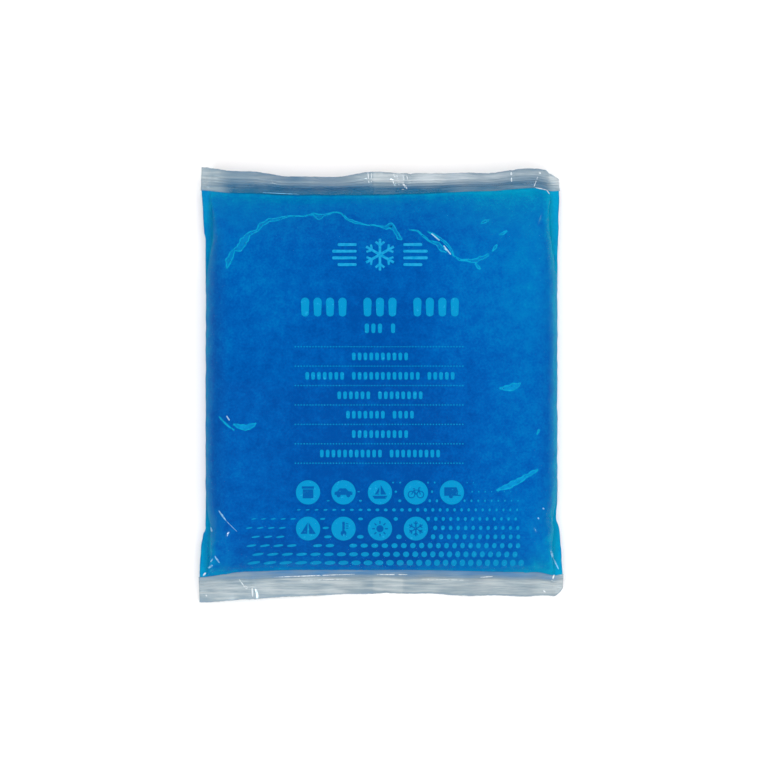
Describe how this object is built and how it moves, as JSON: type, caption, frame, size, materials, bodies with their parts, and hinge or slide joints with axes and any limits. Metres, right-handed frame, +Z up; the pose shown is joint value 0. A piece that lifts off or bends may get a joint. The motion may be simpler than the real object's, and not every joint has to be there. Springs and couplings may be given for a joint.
{
  "type": "reusable gel ice pack",
  "caption": "Flat rectangular pouch of clear film, heat-sealed across both ends and filled with blue gel, frozen and laid in a cool box or bag to keep its contents cold.",
  "frame": {"origin": "centre of the pack in plan, on the surface that its back lies on", "axes": "+Y along the pack towards the end seal that curls up, +Z up out of the printed face, +X across the pack to the right seen from above"},
  "size_m": [0.1752, 0.208, 0.0218],
  "materials": {
    "clear_film": "clear laminate of nylon and polythene, soft gloss, printed in blue ink and heat-sealed with crimped lines",
    "blue_gel": "translucent blue gel, faintly mottled, paler where it is thin"
  },
  "bodies": {
    "root": {"film_pouch": "clear_film", "gel_fill": "blue_gel"}
  },
  "joints": []
}
